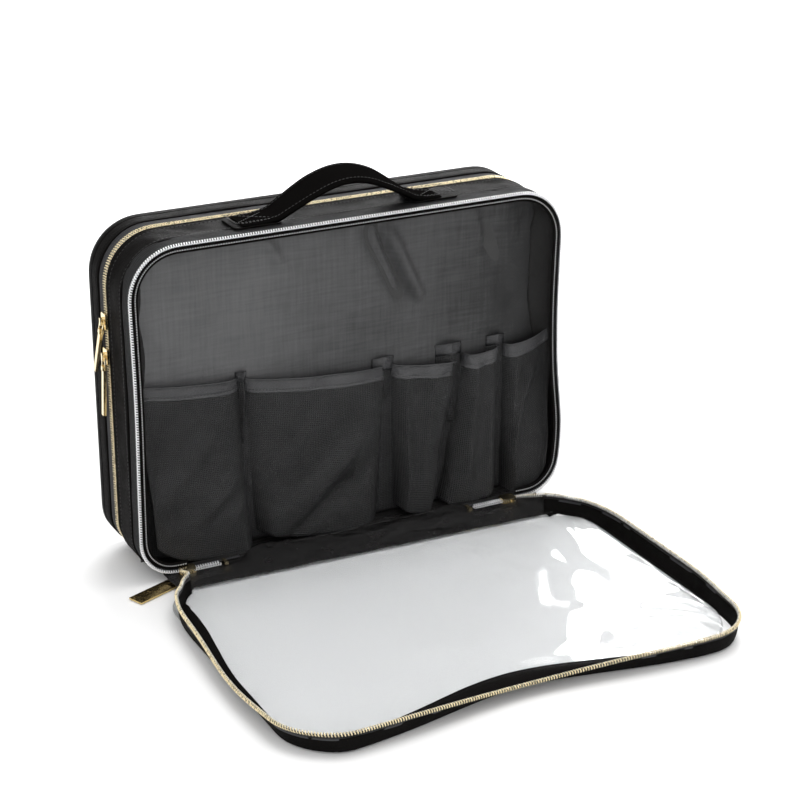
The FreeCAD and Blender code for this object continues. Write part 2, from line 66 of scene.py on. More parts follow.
def bump(x, centre, width):
    """1 at the centre, falling smoothly to a third at width away."""
    return np.exp(-(((np.asarray(x, float) - centre) / width) ** 2))


def step_up(x, low, high):
    """0 up to low, 1 from high, and smooth between."""
    t = np.clip((np.asarray(x, float) - low) / (high - low), 0, 1)
    return t * t * (3 - 2 * t)


def rumple(points, scale, seed=0.0):
    """Smooth noise from -1 to 1 at points in mm; scale is the size of a fold in mm."""
    flat = points.reshape(-1, 3) / scale + seed
    values = [noise.noise(Vector(p)) + 0.4 * noise.noise(Vector(p * 2.3 + 7)) for p in flat]
    return np.array(values).reshape(points.shape[:-1])


def ridge(x, z, start, end, width):
    """A fold along the line from start to end, 1 on the line and fading at both sides and ends."""
    s, e = np.array(start, float), np.array(end, float)
    d = e - s
    length = np.linalg.norm(d)
    d /= length
    along = ((x - s[0]) * d[0] + (z - s[1]) * d[1]) / length
    across = (x - s[0]) * -d[1] + (z - s[1]) * d[0]
    fade = np.clip(1.15 - (2 * np.abs(along - 0.5)) ** 3, 0, 1)
    return np.exp(-((across / width) ** 2)) * fade


# ---- meshes
def added(name, data):
    made = bpy.data.objects.new(name, data)
    bpy.context.scene.collection.objects.link(made)
    return made


def mesh_piece(name, points, faces, material, uv=None):
    """A smooth piece from points in mm and faces, with a UV map named flow."""
    mesh = bpy.data.meshes.new(name)
    mesh.from_pydata((points.reshape(-1, 3) * MM).tolist(), [], faces)
    layer = mesh.uv_layers.new(name="flow")
    if uv is not None:
        layer.data.foreach_set("uv", uv.astype(np.float32).ravel())
    mesh.shade_smooth()
    mesh.materials.append(material)
    return added(name, mesh)


def grid(name, points, material, wrap_u=False, wrap_v=False):
    """A mesh of quads from an n by m array of points in mm, with a UV map of its lengths in metres."""
    n, m = points.shape[:2]
    nu, nv = (n if wrap_u else n - 1), (m if wrap_v else m - 1)
    i, j = np.meshgrid(np.arange(nu), np.arange(nv), indexing="ij")
    i2, j2 = (i + 1) % n, (j + 1) % m
    quads = np.stack([i * m + j, i2 * m + j, i2 * m + j2, i * m + j2], -1).reshape(-1, 4)
    du = np.linalg.norm(np.roll(points, -1, 0) - points, axis=2).mean(1)
    dv = np.linalg.norm(np.roll(points, -1, 1) - points, axis=2).mean(0)
    u = np.concatenate([[0], np.cumsum(du)]) * MM
    v = np.concatenate([[0], np.cumsum(dv)]) * MM
    ua, va, ub, vb = u[i], v[j], u[i + 1], v[j + 1]
    uv = np.stack([ua, va, ub, va, ub, vb, ua, vb], -1).reshape(-1, 2)
    faces = quads.tolist()
    if wrap_v and not wrap_u:  # caps on the ends of a tube
        faces.append(list(range(m))[::-1])
        faces.append([(n - 1) * m + k for k in range(m)])
        extra = np.stack([np.zeros(2 * m), np.concatenate([v[:m][::-1], v[:m]])], -1)
        uv = np.concatenate([uv, extra])
    return mesh_piece(name, points, faces, material, uv)


def applied(piece):
    """Applies the piece's modifiers to its mesh."""
    graph = bpy.context.evaluated_depsgraph_get()
    graph.update()
    old = piece.data
    piece.data = bpy.data.meshes.new_from_object(piece.evaluated_get(graph))
    piece.modifiers.clear()
    bpy.data.meshes.remove(old)
    return piece


def thickened(piece, thick):
    """Gives a sheet its thickness in mm."""
    solid = piece.modifiers.new("thick", "SOLIDIFY")
    solid.thickness, solid.offset = thick * MM, 0
    return applied(piece)


def joined(name, parts):
    """One piece from several meshes."""
    with bpy.context.temp_override(
        active_object=parts[0], selected_editable_objects=parts, object=parts[0]
    ):
        bpy.ops.object.join()
    parts[0].name = parts[0].data.name = name
    return parts[0]


class Track:
    """A line in mm with an outward and a side direction at each of its points."""

    def __init__(self, line, out, side, closed=False):
        parts = [np.asarray(a, float) for a in (line, out, side)]
        if closed:
            parts = [np.concatenate([a, a[:1]]) for a in parts]
        self.line, self.out, self.side = parts
        steps = np.linalg.norm(np.diff(self.line, axis=0), axis=1)
        self.s = np.concatenate([[0], np.cumsum(steps)])
        self.length, self.closed = self.s[-1], closed

    def at(self, s):
        s = np.asarray(s, float)
        s = s % self.length if self.closed else s
        line, out, side = (
            np.stack([np.interp(s, self.s, a[:, k]) for k in range(3)], -1)
            for a in (self.line, self.out, self.side)
        )
        return line, unit(out), unit(side)

    def span(self, start, end):
        return 0.0 if start is None else start, self.length if end is None else end

    def stations(self, step, start=None, end=None):
        a, b = self.span(start, end)
        count = max(int(round((b - a) / step)), 2)
        loop = self.closed and start is None
        return np.linspace(a, b, count, endpoint=False) if loop else np.linspace(a, b, count + 1)


def ribbon(outer, thick):
    """A closed cross-section from its outer line of (side, outward), thick mm deep."""
    outer = np.asarray(outer, float)
    inner = outer[..., ::-1, :].copy()
    inner[..., 1] -= thick
    return np.concatenate([outer, inner], axis=-2)


def loft(name, track, profile, material, step=4.0, start=None, end=None, tube=True, extra=None):
    """A cross-section of (side, outward) in mm carried along a track."""
    s = track.stations(step, start, end)
    line, out, side = track.at(s)
    p = profile(s) if callable(profile) else np.asarray(profile, float)
    p = np.broadcast_to(p, (len(s),) + p.shape[-2:])
    points = line[:, None] + p[..., 0, None] * side[:, None] + p[..., 1, None] * out[:, None]
    if extra is not None:
        points = points + extra(points, s)
    return grid(name, points, material, track.closed and start is None, tube)


def outline(low, base, wave=0.0):
    """The case's outline in x and z with its outward normals, from the middle of the bottom.

    wave is how much its two sides sag in and out."""
    top = TOP_RADIUS
    corners = [
        (HALF - base, low + base, base, -90), (HALF - top, HIGH - top, top, 0),
        (-HALF + top, HIGH - top, top, 90), (-HALF + base, low + base, base, 180),
    ]
    points, normals = [(0.0, low)], [(0.0, -1.0)]
    for cx, cz, r, first in corners:
        for angle in np.radians(np.linspace(first, first + 90, 13)):
            points.append((cx + r * cos(angle), cz + r * sin(angle)))
            normals.append((cos(angle), sin(angle)))
    # even stations, so that waves and bands sample the straight runs too
    both = [np.array(a + a[:1]) for a in (points, normals)]
    around = np.concatenate([[0], np.cumsum(np.linalg.norm(np.diff(both[0], axis=0), axis=1))])
    s = np.linspace(0, around[-1], STATIONS, endpoint=False)
    p, n = (np.stack([np.interp(s, around, a[:, k]) for k in range(2)], -1) for a in both)
    n = unit(n)
    if wave:
        x, z = p[:, 0], p[:, 1]
        amount = step_up(x, 150, 190) * (4.5 * bump(z, 62, 40) - 2.0 * bump(z, 170, 60))
        amount = amount + step_up(-x, 150, 190) * (-1.5 * bump(z, 150, 70))
        p = p + n * (wave * amount)[:, None]
    return p, n


def case_track(sign, low=RIM_LIFT, base=RIM_BASE, wave=0.0):
    """A closed track round the case. Its side direction is -y for the front and +y for the rear."""
    p, n = outline(low, base, wave)
    zero = np.zeros(len(p))
    return Track(
        np.stack([p[:, 0], zero, p[:, 1]], -1), np.stack([n[:, 0], zero, n[:, 1]], -1),
        np.tile([0.0, float(sign), 0.0], (len(p), 1)), closed=True,
    )


def open_track():
    """The open front lid's rim, from its right end to its left end. Its side direction is up."""
    p, n = outline(RIM_LIFT, RIM_BASE)
    keep = ~((np.abs(p[:, 0]) < HALF - RIM_BASE) & (p[:, 1] < 20))
    p, n = p[keep], n[keep]
    zero, one = np.zeros(len(p)), np.ones(len(p))
    return Track(
        np.stack([p[:, 0], HINGE_Y - (p[:, 1] - HINGE_Z), one * HINGE_Z], -1),
        np.stack([n[:, 0], -n[:, 1], zero], -1), np.stack([zero, zero, one], -1),
    )


# ---- materials
class Maker:
    """Builds a node material: noise, weave, colour and bump round one Principled shader."""

    def __init__(self, name, colour, rough, **sockets):
        self.material = bpy.data.materials.new(name)
        self.material.use_nodes = True
        self.nodes, self.links = self.material.node_tree.nodes, self.material.node_tree.links
        self.shader = self.nodes["Principled BSDF"]
        for key, value in {"Base Color": (*colour, 1), "Roughness": rough, **sockets}.items():
            self.put(key.replace("_", " "), value)
        self.colour = colour
        self.where = self.node("ShaderNodeTexCoord").outputs["Object"]
        self.normal = None

    def put(self, socket, value):
        """Links or sets a socket, or the shader's socket of that name."""
        if isinstance(socket, str):
            socket = self.shader.inputs[socket]
        if isinstance(value, bpy.types.NodeSocket):
            self.links.new(value, socket)
        else:
            socket.default_value = value

    def node(self, kind, **values):
        made = self.nodes.new(kind)
        for key, value in values.items():
            if key.replace("_", " ") in made.inputs:
                self.put(made.inputs[key.replace("_", " ")], value)
            else:
                setattr(made, key, value)
        return made

    def math(self, operation, *values):
        made = self.node("ShaderNodeMath", operation=operation)
        for socket, value in zip(made.inputs, values):
            self.put(socket, value)
        return made.outputs[0]

    def mixed(self, *parts):
        """The sum of pairs of a value and its weight."""
        total, *weighed = [self.math("MULTIPLY", *part) for part in parts]
        for value in weighed:
            total = self.math("ADD", total, value)
        return total

    def noise(self, scale, detail=4.0, distortion=0.0, stretch=None):
        where = self.where
        if stretch:
            where = self.node("ShaderNodeMapping", Scale=stretch, Vector=where).outputs["Vector"]
        made = dict(Scale=scale, Detail=detail, Distortion=distortion, Vector=where)
        return self.node("ShaderNodeTexNoise", **made).outputs["Fac"]

    def across(self):
        """How far a point is to the right, in metres."""
        return self.node("ShaderNodeSeparateXYZ", Vector=self.where).outputs[0]

    def waves(self, pitch_u, pitch_v, turn=0.0):
        """A weave from sine waves across the UV map, pitches in mm; no wave for a pitch of 0."""
        flow = self.node("ShaderNodeUVMap", uv_map="flow").outputs["UV"]
        turned = self.node("ShaderNodeMapping", Rotation=(0, 0, turn), Vector=flow).outputs["Vector"]
        parts = self.node("ShaderNodeSeparateXYZ", Vector=turned)
        made = [
            self.math("SINE", self.math("MULTIPLY", parts.outputs[axis], 2 * pi / (pitch * MM)))
            for axis, pitch in enumerate((pitch_u, pitch_v)) if pitch
        ]
        return self.math("MULTIPLY", *made) if len(made) == 2 else made[0]

    def relief(self, height, distance):
        """Adds a bump of the height, distance in mm."""
        made = self.node("ShaderNodeBump", Strength=1.0, Distance=distance * MM, Height=height)
        if self.normal is not None:
            self.put(made.inputs["Normal"], self.normal)
        self.normal = made.outputs["Normal"]
        self.put("Normal", self.normal)

    def ramp(self, value, low, high, start=0.25, end=0.75):
        """From low to high as the value goes from start to end."""
        made = dict(Value=value, From_Min=start, From_Max=end, To_Min=low, To_Max=high)
        return self.node("ShaderNodeMapRange", **made).outputs["Result"]

    def wear(self, scale, detail, low, high):
        """Roughness between low and high by a noise."""
        self.put("Roughness", self.ramp(self.noise(scale, detail), low, high))

    def mix(self, factor, a, b, **settings):
        made = self.node("ShaderNodeMix", data_type="RGBA", Factor=factor, **settings)
        self.put(made.inputs[6], a)
        self.put(made.inputs[7], b)
        return made.outputs[2]

    def tint(self, value, dark, light):
        """Colours between dark and light times the main colour, by value."""
        ends = [(*[c * shade for c in self.colour], 1) for shade in (dark, light)]
        self.put("Base Color", self.mix(value, *ends))


def cloth(name, colour, rough, weave=(0.5, 0.5), depth=0.06, crinkle=(60, 0.5), spread=0.08,
          rib_highlight_pitch=0.0, mottle=0.35, specular=0.5):
    """Fabric: a weave of two pitches in mm, crinkles of (scale, depth), and painted highlights along ribs of
    a pitch in mm.
    """
    m = Maker(name, colour, rough, Specular_IOR_Level=specular)
    shade = m.mixed((m.noise(45.0, 5.0), 0.6), (m.noise(900.0, 2.0), 0.4))
    if rib_highlight_pitch:
        # painted highlights: bright stripes along the ribs, with painted shade in the grooves between them
        m.tint(m.mixed((shade, 0.4), (m.waves(0, rib_highlight_pitch), 0.3)), 0.3, 5.0)
    else:
        m.tint(shade, 1 - mottle, 1 + mottle)
    m.wear(70.0, 5.0, rough - spread, rough + spread)
    m.relief(m.noise(crinkle[0], 6.0, 1.2), crinkle[1])
    m.relief(m.waves(*weave), depth)
    return m.material


def metal(name, colour, rough, dents=0.15):
    m = Maker(name, colour, rough, Metallic=1.0)
    m.tint(m.noise(120.0, 4.0), 0.88, 1.08)
    m.wear(260.0, 6.0, rough - 0.06, rough + 0.12)
    m.relief(m.noise(1500.0, 3.0), 0.02)
    m.relief(m.noise(90.0, 2.0), dents)
    return m.material


def coil_metal(name, outer, inner, rough):
    """Metal-plated coil, its outer and inner faces two colours told apart by the face attribute."""
    m = Maker(name, outer, rough, Metallic=0.6)
    face = m.node("ShaderNodeAttribute", attribute_name="inner_face").outputs["Fac"]
    shade = m.node("ShaderNodeCombineColor")
    value = m.ramp(m.noise(200.0, 4.0), 0.8, 1.1)
    for socket in shade.inputs:
        m.put(socket, value)
    plated = m.mix(face, (*outer, 1), (*inner, 1))
    m.put("Base Color", m.mix(1.0, plated, shade.outputs[0], blend_type="MULTIPLY"))
    m.wear(400.0, 3.0, rough - 0.08, rough + 0.12)
    m.relief(m.noise(1800.0, 2.0), 0.03)
    return m.material


def coated(name, colour, rough):
    """Coated fabric with crosswise and lengthwise slubs, and a painted sheen: lighter on the left and darker
    on the right.
    """
    m = Maker(name, colour, rough, Specular_IOR_Level=0.3)
    m.wear(60.0, 5.0, rough - 0.07, rough + 0.08)
    m.relief(m.noise(20.0, 6.0, 1.2), 1.8)
    m.relief(m.waves(1.0, 1.3), 0.08)
    slubs = [(m.noise(1.0, 4.0, stretch=along), 0.33) for along in ((26, 26, 420), (420, 26, 26))]
    value = m.mixed(*slubs, (m.noise(9.0, 3.0), 0.6))
    m.relief(value, 0.6)
    # painted sheen: a reflection painted into the colour, lighter towards the left and darker towards the
    # right
    fade = m.math("ADD", m.math("MULTIPLY", m.across(), -2.0), -0.29)
    m.tint(m.math("ADD", value, fade), 0.2, 1.6)
    return m.material


def net(name, colour, cover):
    """Fine warp-knit net: threads round small openings, slightly see-through."""
    m = Maker(name, colour, 0.5, Specular_IOR_Level=0.3)
    cells = m.waves(2.2, 2.2, turn=radians(45))
    m.tint(m.noise(26.0, 4.0), 0.35, 1.65)
    m.relief(cells, 0.25)
    m.relief(m.noise(50.0, 5.0, 1.0), 0.6)
    opening = m.math("GREATER_THAN", cells, cover)
    m.put("Alpha", m.math("SUBTRACT", 1.0, m.math("MULTIPLY", opening, 0.6)))
    return m.material


NYLON = cloth("black_nylon", (0.0058, 0.0053, 0.0051), 0.55, crinkle=(45, 0.9), specular=0.015)
TAPE = cloth("ribbed_tape", (0.017, 0.017, 0.0185), 0.36, weave=(1.1, 0.9), depth=0.2, rib_highlight_pitch=3.4, specular=0.3)
WEBBING = cloth("strap_webbing", (0.0048, 0.0045, 0.0043), 0.6, weave=(0.7, 0.9), depth=0.14, specular=0.0)
CRINKLED = cloth("crinkled_nylon", (0.0065, 0.006, 0.006), 0.24, crinkle=(42, 2.2), spread=0.06, specular=0.3)
LINING = cloth("lining_nylon", (0.0085, 0.008, 0.0078), 0.42, crinkle=(38, 1.2), specular=0.25)
COATED = coated("coated_nylon", (0.088, 0.088, 0.090), 0.38)
HEM = cloth("hem_satin", (0.020, 0.020, 0.022), 0.22, crinkle=(16, 1.6), spread=0.04, mottle=0.12,
            specular=0.7)
SILVER = coil_metal("silver_coil", (0.96, 0.96, 0.97), (0.94, 0.94, 0.96), 0.34)
GOLD_COIL = coil_metal("gold_coil", (0.93, 0.80, 0.52), (0.66, 0.65, 0.62), 0.28)
GOLD = metal("gold_metal", (0.90, 0.76, 0.48), 0.18)
BRONZE = metal("aged_gold", (0.66, 0.50, 0.22), 0.2, dents=0.05)
NET = net("pocket_net", (0.0175, 0.0175, 0.018), 0.3)
THREAD = cloth("stitch_thread", (0.62, 0.62, 0.63), 0.5, weave=(0.4, 0.4))
DARK_THREAD = cloth("dark_thread", (0.022, 0.021, 0.021), 0.45, weave=(0.4, 0.4))


def vinyl():
    """Clear sheet, calm on its left and rippled on its right."""
    m = Maker("clear_vinyl", (0.965, 0.988, 1.0), 0.04, IOR=1.34, Transmission_Weight=1.0, Alpha=0.45)
    m.wear(14.0, 3.0, 0.02, 0.07)
    loose = m.ramp(m.across(), 0.06, 1.0, 0.0, 0.11)
    m.relief(m.math("MULTIPLY", m.noise(10.0, 1.0, 1.5), loose), 13.0)
    return m.material


def crossing(piece, body, slot, start, end, *nodes):
    """Bakes the piece's transform in place and hides the CAD nodes it stands for; body, slot, start and end
    are not used.
    """
    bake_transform(piece)
    if nodes:
        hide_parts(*nodes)


def placed(piece, body, slot, *nodes):
    """Rides the piece on a body and hides the CAD nodes it stands for; its slot is not used."""
    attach(piece, body)
    if nodes:
        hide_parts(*nodes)
    return piece


# ---- coils, stitches
def coil(name, track, at_side, at_out, material, start=None, end=None, phase=0.0, half=(1.25, 0.75),
         wire=0.4):
    """A zip coil: a wire wound round a line beside the track, one turn a tooth."""
    a, b = track.span(start, end)
    turns = max(int(round((b - a) / PITCH)), 2)
    per, ring = 9, 5  # points along a turn, and round the wire
    closed = track.closed and start is None
    k = np.arange(turns * per + (0 if closed else 1))
    theta = 2 * pi * k / per + phase
    s = a + (b - a) * k / (turns * per)
    line, out, side = track.at(s)
    at_side, at_out = (place(s) if callable(place) else place for place in (at_side, at_out))
    across = at_side + half[0] * np.sin(theta)
    lift = at_out + half[1] * np.cos(theta)
    centre = line + across[:, None] * side + lift[:, None] * out
    ahead = np.roll(centre, -1, 0) - np.roll(centre, 1, 0) if closed else np.gradient(centre, axis=0)
    tangent = unit(ahead)
    radial = unit(np.sin(theta)[:, None] * side + np.cos(theta)[:, None] * out)
    radial = unit(radial - (radial * tangent).sum(1)[:, None] * tangent)
    binormal = np.cross(tangent, radial)
    turn = (np.arange(ring) * 2 * pi / ring)[None, :, None]
    points = centre[:, None] + wire * (np.cos(turn) * radial[:, None] + np.sin(turn) * binormal[:, None])
    piece = grid(name, points, material, closed, True)
    inner = np.clip(0.25 - 0.9 * np.cos(theta), 0, 1)
    layer = piece.data.attributes.new("inner_face", "FLOAT", "POINT")
    layer.data.foreach_set("value", np.repeat(inner, ring).astype(np.float32))
    return piece


def stitches(name, track, at_side, at_out, material, start=None, end=None, length=1.7, pitch=PITCH,
             radius=0.32):
    """A row of stitches: short rounded threads lying along the track."""
    a, b = track.span(start, end)
    s0 = np.arange(a, b - length * 0.5, pitch)
    t = np.linspace(0, 1, 5)
    line, out, side = track.at(s0[:, None] + t[None] * length)
    lift = at_out - 0.25 + radius * np.sin(pi * t)[None]
    centre = line + at_side * side + lift[..., None] * out
    fat = radius * (0.45 + 0.55 * np.sin(pi * t))[None, :, None, None]
    ring = (np.arange(5) * 2 * pi / 5)[None, None, :, None]
    points = centre[:, :, None] + fat * (np.cos(ring) * side[:, :, None] + np.sin(ring) * out[:, :, None])
    i, j = np.meshgrid(np.arange(4), np.arange(5), indexing="ij")
    j2 = (j + 1) % 5
    quad = np.stack([i * 5 + j, (i + 1) * 5 + j, (i + 1) * 5 + j2, i * 5 + j2], -1)
    first = np.arange(len(s0)) * 25
    faces = (first[:, None, None, None] + quad[None]).reshape(-1, 4).tolist()
    for k in first.tolist():
        faces += [[k + q for q in range(5)][::-1], [k + 20 + q for q in range(5)]]
    return mesh_piece(name, points, faces, material)


# ---- stage and camera
def stage():
    world = bpy.data.worlds.new("studio")
    bpy.context.scene.world = world
    world.use_nodes = True
    background = world.node_tree.nodes["Background"].inputs
    background["Color"].default_value, background["Strength"].default_value = (1, 1, 1, 1), 0.95
    paper = Maker("white_paper", (0.93, 0.93, 0.93), 0.7)
    paper.relief(paper.noise(300.0, 2.0), 0.02)
    bpy.ops.mesh.primitive_plane_add(size=14, location=(0, 0, -0.0006))
    floor = bpy.context.object
    floor.name = "floor"
    floor.data.materials.append(paper.material)
    case_middle = Vector((0, -0.05, 0.1))
    for name, place, size, power in (
        ("key", (1.0, 1.75, 1.05), 1.3, 42), ("top", (0.5, -0.1, 2.3), 1.4, 22),
        ("front", (-0.5, -2.3, 0.7), 1.0, 7),
    ):
        light = bpy.data.lights.new(name, "AREA")
        light.energy, light.size = power, size
        lamp = added(name, light)
        lamp.location = place
        lamp.rotation_euler = (case_middle - Vector(place)).to_track_quat("-Z", "Y").to_euler()
    camera = added("camera", bpy.data.cameras.new("camera"))
    azimuth, elevation = radians(-27.339), radians(21.968)
    level = cos(elevation)
    view = Vector((-sin(azimuth) * level, cos(azimuth) * level, -sin(elevation)))
    camera.location = (-0.6986, -1.45113, 0.76307)
    camera.rotation_euler = view.to_track_quat("-Z", "Y").to_euler()
    camera.data.lens = 96.0
    bpy.context.scene.camera = camera
    bpy.context.scene.view_settings.view_transform = "Standard"


stage()

# ---- the core of the case
front = case_track(-1, wave=1.0)
rear = case_track(1)
core = case_track(1, low=0.0, base=CORE_BASE)
ROUND = front.length


def along_out(track, s, amount):
    return track.at(s)[1][:, None] * amount[..., None]


def core_wrinkles(points, s):
    """The gusset sags a little between the zips and wrinkles at the top corners."""
    z, x, y = points[..., 2], points[..., 0], points[..., 1]
    middle = 1 - (np.abs(y) / 17.0) ** 2
    high = step_up(z, 30, 120)
    corner = bump(np.abs(x), 150, 45) * step_up(z, 215, 250)
    amount = middle * high * (-0.9 + 0.7 * rumple(points, 42)) + corner * rumple(points, 14, 3) * 1.1 * middle
    return along_out(core, s, amount)


turned_edge = [(-0.5, -1.5), (-0.4, -0.5), (0.2, 0.1), (1.1, 0.1), (1.9, -0.35), (2.6, -0.05)]
front_edge, rear_edge = -9.0, 17.0
across = [(front_edge + a, b) for a, b in turned_edge]
across += [(y, -0.05) for y in np.linspace(front_edge + 4.5, rear_edge - 4.5, 13)]
across += [(rear_edge - a, b) for a, b in turned_edge[::-1]]
placed(loft("core_gusset_cloth", core, ribbon(across, 1.1), NYLON, 5, extra=core_wrinkles),
       "case", "black_nylon", "core_gusset")
for tag, at_side in (("front", front_edge + 1.9), ("rear", rear_edge - 1.9)):
    row = stitches(f"core_{tag}_topstitch", core, at_side, -0.2, DARK_THREAD, 190, ROUND - 190,
                   length=2.4, pitch=3.4, radius=0.25)
    placed(row, "case", "black_nylon")


def ribbed(start, end, out=-0.75, rib=1.45, depth=0.95):
    """A tape's outer line: lengthwise ribs of width rib, with grooves as wide between them."""
    y = np.arange(start, end + 0.01, rib / 4)
    return [(v, out - depth * (0.5 + 0.5 * cos(pi * (v - start) / rib))) for v in y]


def tape_waves(track, amount):
    def extra(points, s):
        corner = 0.25 + bump(np.abs(points[..., 0]), 165, 40) * step_up(points[..., 2], 190, 240)
        return along_out(track, s, amount * corner * rumple(points, 16, 5))
    return extra


placed(loft("front_zip_tape_cloth", front, ribbon(ribbed(7.4, 23.8, -0.55), 0.8), TAPE, 4, 88, ROUND - 105,
            extra=tape_waves(front, 0.9)), "case", "zip_tape", "front_zip_tape")
placed(loft("rear_zip_tape_cloth", rear, ribbon(ribbed(16.2, 23.8, depth=0.5), 0.8), NYLON, 5, 98, ROUND - 98,
            extra=tape_waves(rear, 0.45)), "case", "zip_tape", "rear_zip_tape")
placed(coil("front_coil_row", front, 25.3, -1.3, SILVER, 108, ROUND - 124, half=(1.45, 0.95), wire=0.5),
       "case", "silver_coil", "front_zip_coil")
placed(stitches("front_coil_stitches", front, 24.6, -6.0, THREAD, 150, ROUND - 150, 1.3, PITCH, 0.5),
       "case", "zip_tape")
lip = [(20.5, -2.7), (22.3, -2.9), (23.6, -3.4), (24.2, -4.4), (24.3, -6.0), (24.1, -8.2)]
lip += [(a - 0.5, b - 0.35) for a, b in lip[::-1]]
placed(loft("front_tape_lip", front, lip, NYLON, 5, 150, ROUND - 150), "case", "zip_tape")
REAR_COIL = dict(half=(1.6, 0.85), wire=0.43)
placed(coil("rear_coil_row", rear, 25.05, -1.4, GOLD_COIL, 115, ROUND - 115, **REAR_COIL),
       "case", "gold_coil", "rear_zip_coil")


def lining(name, track, node, seed):
    def extra(points, s):
        low = 1 + 1.2 * (1 - step_up(points[..., 2], 20, 70))
        return along_out(track, s, 0.45 * low * rumple(points, 17, seed))
    outer = [(v, -2.6 - 0.3 * sin(v)) for v in np.linspace(1.2, 22.5, 14)]
    band = placed(loft(name, track, ribbon(outer, 0.45), LINING, 5, extra=extra), "case", "lining", node)


lining("front_lining_cloth", front, "front_lining", 1)
lining("rear_lining_cloth", rear, "rear_lining", 2)


def soft_rect(x0, x1, z0, z1, radius_low, radius_high, nx, nz):
    """A grid of x and z inside a rectangle with rounded corners."""
    x, z = np.meshgrid(np.linspace(x0, x1, nx), np.linspace(z0, z1, nz), indexing="ij")
    for cx, cz, sx, sz in (
        (x0 + radius_low, z0 + radius_low, -1, -1), (x1 - radius_low, z0 + radius_low, 1, -1),
        (x0 + radius_high, z1 - radius_high, -1, 1), (x1 - radius_high, z1 - radius_high, 1, 1),
    ):
        dx, dz = np.maximum((x - cx) * sx, 0), np.maximum((z - cz) * sz, 0)
        inside = (dx > 0) & (dz > 0)
        ratio = np.where(inside, np.maximum(dx, dz) / np.maximum(np.hypot(dx, dz), 1e-9), 1)
        x = np.where(inside, cx + dx * ratio * sx, x)
        z = np.where(inside, cz + dz * ratio * sz, z)
    return x, z


DIVIDER_FOLDS = [
    # height, start and end in x and z, width
    (9.0, (36, 258), (68, 190), 6.0), (-6.0, (22, 262), (54, 190), 8.0),
    (3.0, (-70, 266), (-54, 236), 4.5), (-2.0, (-60, 266), (-42, 232), 5.0),
    (2.2, (-160, 262), (-112, 205), 9), (1.8, (-180, 225), (-140, 165), 8),
    (2.4, (117, 262), (125, 230), 3.0), (-2.2, (128, 255), (160, 150), 12),
    (1.6, (-60, 262), (-40, 200), 11), (1.2, (0, 262), (14, 170), 9),
    (0.9, (-150, 200), (-60, 180), 18), (-0.8, (80, 240), (95, 165), 8),
]


def divider_folds(x, z, seed):
    folds = sum(tall * ridge(x, z, start, end, wide) for tall, start, end, wide in DIVIDER_FOLDS)
    gather = np.exp(-(262 - z) / 18.0) * (1.5 * np.sin(x / 7.3 + 1.5 * np.sin(x / 23.0)))
    points = np.stack([x, 0 * x + seed * 31, z], -1)
    return folds + gather + 1.0 * rumple(points, 60, seed) + 0.35 * rumple(points, 20, seed)


def divider(side, sign, seed):
    x, z = soft_rect(*LINED, 150, 110)
    to_edge = np.minimum(np.minimum(LINED[1] - np.abs(x), z - LINED[2]), LINED[3] - z)
    amount = 2.2 + (divider_folds(x, z, seed) + 1.0) * step_up(to_edge, 0, 14)
    face = thickened(grid(f"divider_{side}_cloth", np.stack([x, sign * amount, z], -1), COATED), 0.5)
    placed(face, "case", "lining", f"divider_{side}_face")


divider("front", -1, 1)
divider("rear", 1, 2)


def facing(name, track, seed):
    """The black strip sewn over the corner between the gusset and the divider."""
    def profile(s):
        z = track.at(s)[0][:, 2]
        wide = 3 + 12 * step_up(z, 90, 185) * (1 - 0.75 * step_up(z, 238, 264))
        t = np.linspace(0, 1, 9)
        side = 15.5 - 11.6 * t[None] + 0 * wide[:, None]
        out = -3.0 - wide[:, None] * (0.25 * t + 0.75 * t ** 2)[None]
        outer = np.stack([side, out], -1)
        return np.concatenate([outer, outer[:, ::-1] - [0.5, 0.4]], 1)

    def extra(points, s):
        return along_out(track, s, 0.7 * rumple(points, 15, seed))
    ends = 170
    strip = placed(loft(name, track, profile, LINING, 4, ends, ROUND - ends, extra=extra), "case", "lining")


facing("front_facing", front, 4)
facing("rear_facing", rear, 6)


# ---- pockets
POCKETS = [
    # top left, top right, bottom left, bottom right, height left, middle, right, folds
    (-180, -94, -173, -86, 161, 155, 153, [
        ((-150, 30), (-100, 72), 6, 1.6), ((-140, 14), (-92, 52), 5, 1.2),
        ((-165, 60), (-120, 110), 9, 1.2)]),
    (-90, 38, -82, 26, 151, 143.5, 140, [
        ((-80, 12), (10, 82), 8, 3.4), ((-70, 8), (22, 60), 7, -2.2), ((-60, 60), (0, 130), 14, 1.6)]),
    (41, 103, 43, 74, 140, 136, 133, [((52, 130), (50, 10), 5, 1.8), ((80, 130), (62, 20), 7, 1.6)]),
    (108, 141, 82, 137, 138, 137, 141, [((118, 130), (104, 15), 7, 2.0), ((136, 120), (128, 20), 5, 1.0)]),
    (146, 188, 145, 180, 140, 142, 152, [((172, 118), (152, 55), 3, 1.6), ((156, 130), (152, 14), 5, 1.4)]),
]


